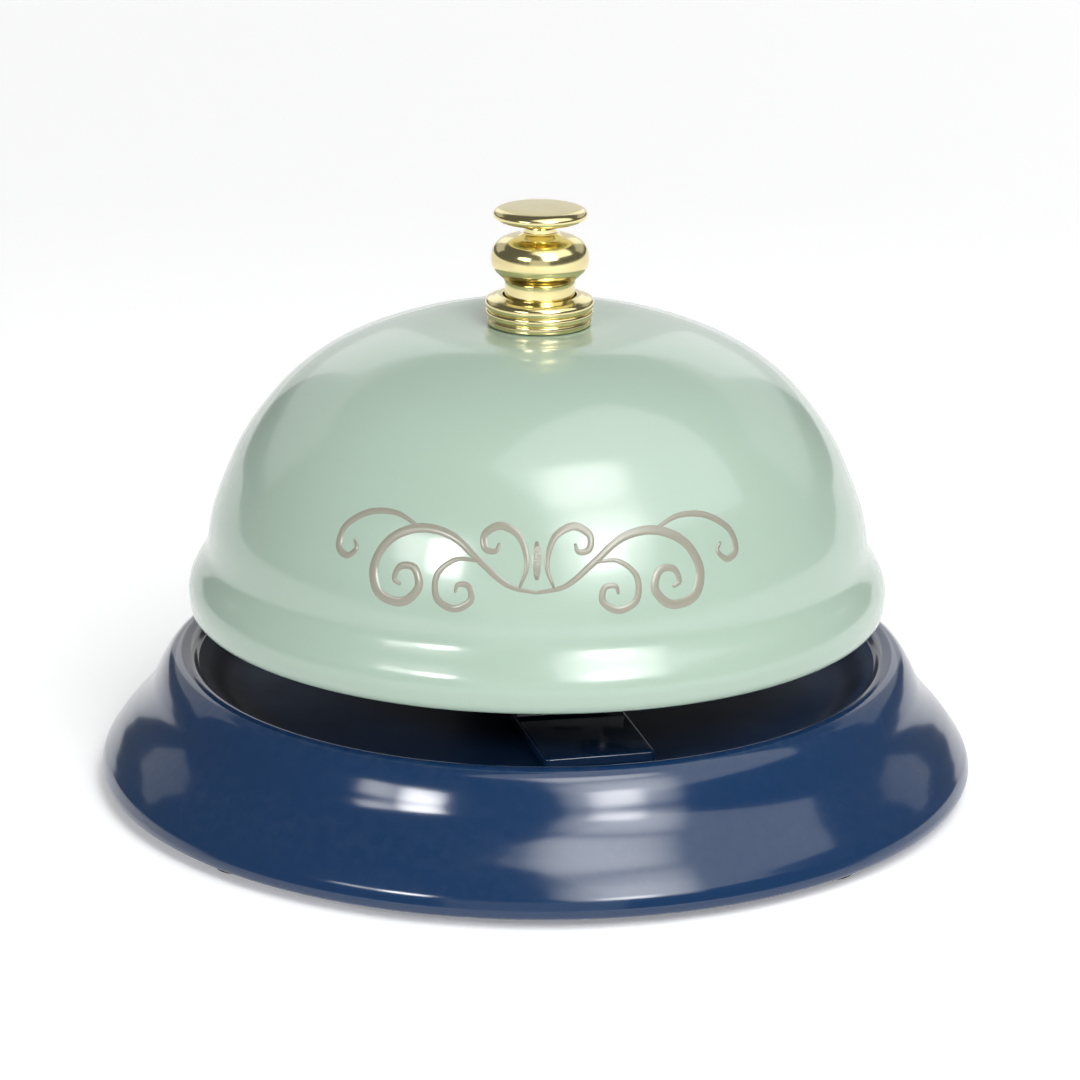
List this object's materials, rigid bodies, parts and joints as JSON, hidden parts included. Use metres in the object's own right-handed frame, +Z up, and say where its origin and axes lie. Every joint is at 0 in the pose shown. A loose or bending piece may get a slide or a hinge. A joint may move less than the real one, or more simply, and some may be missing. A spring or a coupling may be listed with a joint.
{
  "type": "service bell",
  "caption": "Desk call bell with a painted domed bell on a dished base pan and a turned push knob that swings a hinged hammer up against the inside of the bell.",
  "frame": {"origin": "on the bell's axis, at the level the rubber feet stand on", "axes": "+Z up along the plunger; the pictured front faces -Y; the hammer lies 14 degrees behind +X"},
  "size_m": [0.0848, 0.0848, 0.0565],
  "materials": {
    "mint_paint": "gloss mint green enamel",
    "navy_paint": "satin-gloss navy enamel",
    "polished_brass": "polished and lacquered",
    "zinc_plate": "bright zinc plate on pressed steel",
    "bright_steel": "bright turned steel",
    "fibre": "red-brown vulcanised fibre",
    "rubber": "matt black moulded rubber"
  },
  "bodies": {
    "base": {"base_shell": "navy_paint", "bracket_strap": "navy_paint", "foot_1": "rubber", "foot_2": "rubber", "foot_3": "rubber", "foot_4": "rubber", "post_yoke": "zinc_plate", "yoke_rivet_front": "zinc_plate", "yoke_rivet_back": "zinc_plate", "post_barrel": "zinc_plate", "post_nut": "zinc_plate", "seat_nut": "zinc_plate", "seat_washer": "fibre", "bell_dome": "mint_paint", "collar_nut": "polished_brass", "hammer_pin": "bright_steel", "return_spring": "bright_steel"},
    "plunger": {"plunger_knob": "polished_brass", "plunger_rod": "bright_steel", "rod_clip": "bright_steel"},
    "hammer": {"hammer_arm": "zinc_plate", "hammer_head": "bright_steel", "hammer_rivet": "zinc_plate"}
  },
  "joints": [
    {"name": "plunger_press", "type": "slide", "parent": "base", "child": "plunger", "axis": [0, 0, -1], "range_m": [0, 0.0015], "stiffness_N_per_m": 800, "springref_m": -0.002, "deforming": ["return_spring"]},
    {"name": "hammer_swing", "type": "hinge", "parent": "base", "child": "hammer", "pos_m": [0.00407, 0.00102, 0.0173], "axis": [0.2419, -0.9703, 0], "range_deg": [0, 20.3]}
  ],
  "couplings": [
    {"joint": "hammer_swing", "follows": "plunger_press", "rad_per_m": 235.61}
  ]
}
